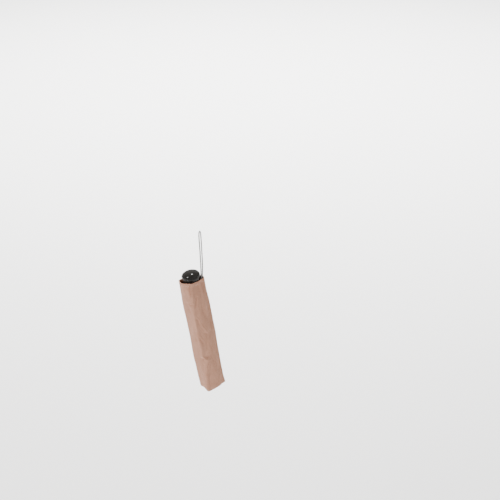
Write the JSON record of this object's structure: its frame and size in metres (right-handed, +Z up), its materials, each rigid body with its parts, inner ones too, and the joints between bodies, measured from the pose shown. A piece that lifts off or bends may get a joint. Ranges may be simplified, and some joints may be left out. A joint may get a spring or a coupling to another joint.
{
  "type": "folding umbrella",
  "caption": "Compact folding umbrella in a fabric sleeve, hung by its cord; telescopic shaft, hinged ribs, runner, canopy and sleeve that slides off.",
  "frame": {"origin": "inside top of the hanging cord's loop, where the hook or bar touches it", "axes": "+Z up; the umbrella hangs below the origin, its crown end leaning 9.6 degrees towards +X; -Y is its front"},
  "size_m": [0.0825, 0.0464, 0.3211],
  "materials": {
    "sleeve": "woven polyester, matt",
    "canopy": "woven polyester, slight sheen",
    "handle": "polished black",
    "steel": "plated",
    "rib": "black coated",
    "cord": "braided light grey"
  },
  "bodies": {
    "handle": {"handle_grip": "handle", "handle_cap": "handle", "handle_pin": "steel", "lower_tube": "steel", "cord_boss": "handle", "hang_cord": "cord"},
    "middle_tube": {"middle_tube": "steel"},
    "crown": {"upper_tube": "steel", "crown": "handle", "crown_cap": "handle", "crown_wire": "steel"},
    "runner": {"runner": "handle", "runner_wire": "steel"},
    "runner_catch": {"runner_catch": "steel"},
    "sleeve": {"sleeve": "sleeve"},
    "top_rib_1": {"top_rib_1": "rib"},
    "middle_rib_1": {"middle_rib_1": "rib"},
    "outer_rib_1": {"outer_rib_1": "rib", "closure_strap": "canopy", "strap_snap": "steel"},
    "stretcher_1": {"stretcher_1": "rib"},
    "canopy_top_1": {"canopy_top_1": "canopy"},
    "canopy_middle_1": {"canopy_middle_1": "canopy"},
    "canopy_outer_1": {"canopy_outer_1": "canopy"},
    "top_rib_2": {"top_rib_2": "rib"},
    "middle_rib_2": {"middle_rib_2": "rib"},
    "outer_rib_2": {"outer_rib_2": "rib"},
    "stretcher_2": {"stretcher_2": "rib"},
    "canopy_top_2": {"canopy_top_2": "canopy"},
    "canopy_middle_2": {"canopy_middle_2": "canopy"},
    "canopy_outer_2": {"canopy_outer_2": "canopy"},
    "top_rib_3": {"top_rib_3": "rib"},
    "middle_rib_3": {"middle_rib_3": "rib"},
    "outer_rib_3": {"outer_rib_3": "rib"},
    "stretcher_3": {"stretcher_3": "rib"},
    "canopy_top_3": {"canopy_top_3": "canopy"},
    "canopy_middle_3": {"canopy_middle_3": "canopy"},
    "canopy_outer_3": {"canopy_outer_3": "canopy"},
    "top_rib_4": {"top_rib_4": "rib"},
    "middle_rib_4": {"middle_rib_4": "rib"},
    "outer_rib_4": {"outer_rib_4": "rib"},
    "stretcher_4": {"stretcher_4": "rib"},
    "canopy_top_4": {"canopy_top_4": "canopy"},
    "canopy_middle_4": {"canopy_middle_4": "canopy"},
    "canopy_outer_4": {"canopy_outer_4": "canopy"},
    "top_rib_5": {"top_rib_5": "rib"},
    "middle_rib_5": {"middle_rib_5": "rib"},
    "outer_rib_5": {"outer_rib_5": "rib"},
    "stretcher_5": {"stretcher_5": "rib"},
    "canopy_top_5": {"canopy_top_5": "canopy"},
    "canopy_middle_5": {"canopy_middle_5": "canopy"},
    "canopy_outer_5": {"canopy_outer_5": "canopy"},
    "top_rib_6": {"top_rib_6": "rib"},
    "middle_rib_6": {"middle_rib_6": "rib"},
    "outer_rib_6": {"outer_rib_6": "rib"},
    "stretcher_6": {"stretcher_6": "rib"},
    "canopy_top_6": {"canopy_top_6": "canopy"},
    "canopy_middle_6": {"canopy_middle_6": "canopy"},
    "canopy_outer_6": {"canopy_outer_6": "canopy"}
  },
  "joints": [
    {"name": "shaft_extend", "type": "slide", "parent": "handle", "child": "middle_tube", "axis": [0.1668, 0, -0.986], "range_m": [0, 0.16]},
    {"name": "shaft_extend_upper", "type": "slide", "parent": "middle_tube", "child": "crown", "axis": [0.1668, 0, -0.986], "range_m": [0, 0.16]},
    {"name": "sleeve_slide", "type": "slide", "parent": "crown", "child": "sleeve", "axis": [0.1668, 0, -0.986], "range_m": [0, 0.245]},
    {"name": "runner_catch_press", "type": "slide", "parent": "crown", "child": "runner_catch", "axis": [-0.6338, -0.766, -0.1072], "range_m": [0, 0.0009], "stiffness_N_per_m": 300},
    {"name": "canopy_open", "type": "hinge", "parent": "crown", "child": "top_rib_1", "pos_m": [0.02543, 0.00267, -0.29511], "axis": [-0.3372, 0.9397, -0.057], "range_deg": [0, 78], "deforming": ["canopy_top_1", "canopy_middle_1", "canopy_outer_1", "canopy_top_2", "canopy_middle_2", "canopy_outer_2", "canopy_top_3", "canopy_middle_3", "canopy_outer_3", "canopy_top_4", "canopy_middle_4", "canopy_outer_4", "canopy_top_5", "canopy_middle_5", "canopy_outer_5", "canopy_top_6", "canopy_middle_6", "canopy_outer_6", "closure_strap", "strap_snap", "sleeve"]},
    {"name": "middle_rib_1_fold", "type": "hinge", "parent": "top_rib_1", "child": "middle_rib_1", "pos_m": [0.00032, 0.00325, -0.13709], "axis": [-0.3372, 0.9397, -0.057], "range_deg": [-190, 0]},
    {"name": "outer_rib_1_fold", "type": "hinge", "parent": "middle_rib_1", "child": "outer_rib_1", "pos_m": [0.02954, 0.00431, -0.29239], "axis": [-0.3372, 0.9397, -0.057], "range_deg": [0, 167]},
    {"name": "stretcher_1_swing", "type": "hinge", "parent": "runner", "child": "stretcher_1", "pos_m": [-0.00025, 0.00267, -0.14327], "axis": [-0.3372, 0.9397, -0.057], "range_deg": [-41.24, 0]},
    {"name": "canopy_top_1_fan", "type": "hinge", "parent": "top_rib_1", "child": "canopy_top_1", "pos_m": [0.0252, 0.00211, -0.30289], "axis": [-0.941, -0.3345, 0.0517], "range_deg": [0, 60]},
    {"name": "canopy_middle_1_fan", "type": "hinge", "parent": "middle_rib_1", "child": "canopy_middle_1", "pos_m": [0.00289, 0.01432, 0.03019], "axis": [0.9215, 0.3171, -0.2241], "range_deg": [0, 60]},
    {"name": "canopy_outer_1_fan", "type": "hinge", "parent": "outer_rib_1", "child": "canopy_outer_1", "pos_m": [-0.0128, -0.03026, -0.61157], "axis": [-0.8546, -0.2802, 0.4372], "range_deg": [0, 60]},
    {"name": "top_rib_2_fold", "type": "hinge", "parent": "crown", "child": "top_rib_2", "pos_m": [0.01954, 0.00768, -0.29611], "axis": [-0.971, 0.1736, -0.1642], "range_deg": [0, 78]},
    {"name": "middle_rib_2_fold", "type": "hinge", "parent": "top_rib_2", "child": "middle_rib_2", "pos_m": [-0.00685, 0.00936, -0.1383], "axis": [-0.971, 0.1736, -0.1642], "range_deg": [-190, 0]},
    {"name": "outer_rib_2_fold", "type": "hinge", "parent": "middle_rib_2", "child": "outer_rib_2", "pos_m": [0.02003, 0.01241, -0.294], "axis": [-0.971, 0.1736, -0.1642], "range_deg": [0, 167]},
    {"name": "stretcher_2_swing", "type": "hinge", "parent": "runner", "child": "stretcher_2", "pos_m": [-0.00614, 0.00768, -0.14427], "axis": [-0.971, 0.1736, -0.1642], "range_deg": [-41.24, 0]},
    {"name": "canopy_top_2_fan", "type": "hinge", "parent": "top_rib_2", "child": "canopy_top_2", "pos_m": [0.02053, 0.00608, -0.30368], "axis": [-0.2021, -0.9633, 0.1767], "range_deg": [0, 60]},
    {"name": "canopy_middle_2_fan", "type": "hinge", "parent": "middle_rib_2", "child": "canopy_middle_2", "pos_m": [-0.02874, 0.04124, 0.02484], "axis": [0.2212, 0.9131, -0.3425], "range_deg": [0, 60]},
    {"name": "canopy_outer_2_fan", "type": "hinge", "parent": "outer_rib_2", "child": "canopy_outer_2", "pos_m": [0.05403, -0.08713, -0.60027], "axis": [-0.2359, -0.8067, 0.5418], "range_deg": [0, 60]},
    {"name": "top_rib_3_fold", "type": "hinge", "parent": "crown", "child": "top_rib_3", "pos_m": [0.01231, 0.00501, -0.29733], "axis": [-0.6338, -0.766, -0.1072], "range_deg": [0, 78]},
    {"name": "middle_rib_3_fold", "type": "hinge", "parent": "top_rib_3", "child": "middle_rib_3", "pos_m": [-0.01565, 0.00611, -0.13979], "axis": [-0.6338, -0.766, -0.1072], "range_deg": [-190, 0]},
    {"name": "outer_rib_3_fold", "type": "hinge", "parent": "middle_rib_3", "child": "outer_rib_3", "pos_m": [0.00835, 0.0081, -0.29597], "axis": [-0.6338, -0.766, -0.1072], "range_deg": [0, 167]},
    {"name": "stretcher_3_swing", "type": "hinge", "parent": "runner", "child": "stretcher_3", "pos_m": [-0.01337, 0.00501, -0.14549], "axis": [-0.6338, -0.766, -0.1072], "range_deg": [-41.24, 0]},
    {"name": "canopy_top_3_fan", "type": "hinge", "parent": "top_rib_3", "child": "canopy_top_3", "pos_m": [0.01481, 0.00397, -0.30465], "axis": [0.7041, -0.6287, 0.33], "range_deg": [0, 60]},
    {"name": "canopy_middle_3_fan", "type": "hinge", "parent": "middle_rib_3", "child": "canopy_middle_3", "pos_m": [-0.06755, 0.02692, 0.01828], "axis": [-0.6378, 0.596, -0.4878], "range_deg": [0, 60]},
    {"name": "canopy_outer_3_fan", "type": "hinge", "parent": "outer_rib_3", "child": "canopy_outer_3", "pos_m": [0.13601, -0.05687, -0.58641], "axis": [0.5231, -0.5265, 0.6702], "range_deg": [0, 60]},
    {"name": "top_rib_4_fold", "type": "hinge", "parent": "crown", "child": "top_rib_4", "pos_m": [0.01098, -0.00267, -0.29756], "axis": [0.3372, -0.9397, 0.057], "range_deg": [0, 78]},
    {"name": "middle_rib_4_fold", "type": "hinge", "parent": "top_rib_4", "child": "middle_rib_4", "pos_m": [-0.01728, -0.00325, -0.14007], "axis": [0.3372, -0.9397, 0.057], "range_deg": [-190, 0]},
    {"name": "outer_rib_4_fold", "type": "hinge", "parent": "middle_rib_4", "child": "outer_rib_4", "pos_m": [0.0062, -0.00431, -0.29634], "axis": [0.3372, -0.9397, 0.057], "range_deg": [0, 167]},
    {"name": "stretcher_4_swing", "type": "hinge", "parent": "runner", "child": "stretcher_4", "pos_m": [-0.01471, -0.00267, -0.14572], "axis": [0.3372, -0.9397, 0.057], "range_deg": [-41.24, 0]},
    {"name": "canopy_top_4_fan", "type": "hinge", "parent": "top_rib_4", "child": "canopy_top_4", "pos_m": [0.01375, -0.00211, -0.30483], "axis": [0.8716, 0.3345, 0.3583], "range_deg": [0, 60]},
    {"name": "canopy_middle_4_fan", "type": "hinge", "parent": "middle_rib_4", "child": "canopy_middle_4", "pos_m": [-0.07472, -0.01432, 0.01706], "axis": [-0.7966, -0.3171, -0.5147], "range_deg": [0, 60]},
    {"name": "canopy_outer_4_fan", "type": "hinge", "parent": "outer_rib_4", "child": "canopy_outer_4", "pos_m": [0.15116, 0.03026, -0.58384], "axis": [0.6633, 0.2802, 0.6939], "range_deg": [0, 60]},
    {"name": "top_rib_5_fold", "type": "hinge", "parent": "crown", "child": "top_rib_5", "pos_m": [0.01687, -0.00768, -0.29656], "axis": [0.971, -0.1736, 0.1642], "range_deg": [0, 78]},
    {"name": "middle_rib_5_fold", "type": "hinge", "parent": "top_rib_5", "child": "middle_rib_5", "pos_m": [-0.01011, -0.00936, -0.13885], "axis": [0.971, -0.1736, 0.1642], "range_deg": [-190, 0]},
    {"name": "outer_rib_5_fold", "type": "hinge", "parent": "middle_rib_5", "child": "outer_rib_5", "pos_m": [0.01571, -0.01241, -0.29473], "axis": [0.971, -0.1736, 0.1642], "range_deg": [0, 167]},
    {"name": "stretcher_5_swing", "type": "hinge", "parent": "runner", "child": "stretcher_5", "pos_m": [-0.00881, -0.00768, -0.14472], "axis": [0.971, -0.1736, 0.1642], "range_deg": [-41.24, 0]},
    {"name": "canopy_top_5_fan", "type": "hinge", "parent": "top_rib_5", "child": "canopy_top_5", "pos_m": [0.01842, -0.00608, -0.30404], "axis": [0.1328, 0.9633, 0.2333], "range_deg": [0, 60]},
    {"name": "canopy_middle_5_fan", "type": "hinge", "parent": "middle_rib_5", "child": "canopy_middle_5", "pos_m": [-0.04308, -0.04124, 0.02241], "axis": [-0.0963, -0.9131, -0.3962], "range_deg": [0, 60]},
    {"name": "canopy_outer_5_fan", "type": "hinge", "parent": "outer_rib_5", "child": "canopy_outer_5", "pos_m": [0.08433, 0.08713, -0.59515], "axis": [0.0446, 0.8067, 0.5893], "range_deg": [0, 60]},
    {"name": "top_rib_6_fold", "type": "hinge", "parent": "crown", "child": "top_rib_6", "pos_m": [0.0241, -0.00501, -0.29534], "axis": [0.6338, 0.766, 0.1072], "range_deg": [0, 78]},
    {"name": "middle_rib_6_fold", "type": "hinge", "parent": "top_rib_6", "child": "middle_rib_6", "pos_m": [-0.0013, -0.00611, -0.13736], "axis": [0.6338, 0.766, 0.1072], "range_deg": [-190, 0]},
    {"name": "outer_rib_6_fold", "type": "hinge", "parent": "middle_rib_6", "child": "outer_rib_6", "pos_m": [0.02739, -0.0081, -0.29275], "axis": [0.6338, 0.766, 0.1072], "range_deg": [0, 167]},
    {"name": "stretcher_6_swing", "type": "hinge", "parent": "runner", "child": "stretcher_6", "pos_m": [-0.00159, -0.00501, -0.1435], "axis": [0.6338, 0.766, 0.1072], "range_deg": [-41.24, 0]},
    {"name": "canopy_top_6_fan", "type": "hinge", "parent": "top_rib_6", "child": "canopy_top_6", "pos_m": [0.02414, -0.00397, -0.30307], "axis": [-0.7735, 0.6287, 0.08], "range_deg": [0, 60]},
    {"name": "canopy_middle_6_fan", "type": "hinge", "parent": "middle_rib_6", "child": "canopy_middle_6", "pos_m": [-0.00428, -0.02692, 0.02898], "axis": [0.7628, -0.596, -0.2509], "range_deg": [0, 60]},
    {"name": "canopy_outer_6_fan", "type": "hinge", "parent": "outer_rib_6", "child": "canopy_outer_6", "pos_m": [0.00235, 0.05687, -0.60901], "axis": [-0.7144, 0.5265, 0.4609], "range_deg": [0, 60]},
    {"name": "runner_slide", "type": "slide", "parent": "crown", "child": "runner", "axis": [0.1668, 0, -0.986], "range_m": [0, 0.07193]}
  ],
  "couplings": [
    {"joint": "shaft_extend_upper", "follows": "shaft_extend", "ratio": 1},
    {"joint": "middle_rib_1_fold", "follows": "canopy_open", "ratio": -2.4359},
    {"joint": "outer_rib_1_fold", "follows": "canopy_open", "ratio": 2.141},
    {"joint": "stretcher_1_swing", "follows": "canopy_open", "ratio": -0.52869},
    {"joint": "canopy_top_1_fan", "follows": "canopy_open", "ratio": 0.76923},
    {"joint": "canopy_middle_1_fan", "follows": "canopy_open", "ratio": 0.76923},
    {"joint": "canopy_outer_1_fan", "follows": "canopy_open", "ratio": 0.76923},
    {"joint": "top_rib_2_fold", "follows": "canopy_open", "ratio": 1},
    {"joint": "middle_rib_2_fold", "follows": "canopy_open", "ratio": -2.4359},
    {"joint": "outer_rib_2_fold", "follows": "canopy_open", "ratio": 2.141},
    {"joint": "stretcher_2_swing", "follows": "canopy_open", "ratio": -0.52869},
    {"joint": "canopy_top_2_fan", "follows": "canopy_open", "ratio": 0.76923},
    {"joint": "canopy_middle_2_fan", "follows": "canopy_open", "ratio": 0.76923},
    {"joint": "canopy_outer_2_fan", "follows": "canopy_open", "ratio": 0.76923},
    {"joint": "top_rib_3_fold", "follows": "canopy_open", "ratio": 1},
    {"joint": "middle_rib_3_fold", "follows": "canopy_open", "ratio": -2.4359},
    {"joint": "outer_rib_3_fold", "follows": "canopy_open", "ratio": 2.141},
    {"joint": "stretcher_3_swing", "follows": "canopy_open", "ratio": -0.52869},
    {"joint": "canopy_top_3_fan", "follows": "canopy_open", "ratio": 0.76923},
    {"joint": "canopy_middle_3_fan", "follows": "canopy_open", "ratio": 0.76923},
    {"joint": "canopy_outer_3_fan", "follows": "canopy_open", "ratio": 0.76923},
    {"joint": "top_rib_4_fold", "follows": "canopy_open", "ratio": 1},
    {"joint": "middle_rib_4_fold", "follows": "canopy_open", "ratio": -2.4359},
    {"joint": "outer_rib_4_fold", "follows": "canopy_open", "ratio": 2.141},
    {"joint": "stretcher_4_swing", "follows": "canopy_open", "ratio": -0.52869},
    {"joint": "canopy_top_4_fan", "follows": "canopy_open", "ratio": 0.76923},
    {"joint": "canopy_middle_4_fan", "follows": "canopy_open", "ratio": 0.76923},
    {"joint": "canopy_outer_4_fan", "follows": "canopy_open", "ratio": 0.76923},
    {"joint": "top_rib_5_fold", "follows": "canopy_open", "ratio": 1},
    {"joint": "middle_rib_5_fold", "follows": "canopy_open", "ratio": -2.4359},
    {"joint": "outer_rib_5_fold", "follows": "canopy_open", "ratio": 2.141},
    {"joint": "stretcher_5_swing", "follows": "canopy_open", "ratio": -0.52869},
    {"joint": "canopy_top_5_fan", "follows": "canopy_open", "ratio": 0.76923},
    {"joint": "canopy_middle_5_fan", "follows": "canopy_open", "ratio": 0.76923},
    {"joint": "canopy_outer_5_fan", "follows": "canopy_open", "ratio": 0.76923},
    {"joint": "top_rib_6_fold", "follows": "canopy_open", "ratio": 1},
    {"joint": "middle_rib_6_fold", "follows": "canopy_open", "ratio": -2.4359},
    {"joint": "outer_rib_6_fold", "follows": "canopy_open", "ratio": 2.141},
    {"joint": "stretcher_6_swing", "follows": "canopy_open", "ratio": -0.52869},
    {"joint": "canopy_top_6_fan", "follows": "canopy_open", "ratio": 0.76923},
    {"joint": "canopy_middle_6_fan", "follows": "canopy_open", "ratio": 0.76923},
    {"joint": "canopy_outer_6_fan", "follows": "canopy_open", "ratio": 0.76923},
    {"joint": "runner_slide", "follows": "canopy_open", "m_per_rad": 0.052835}
  ]
}
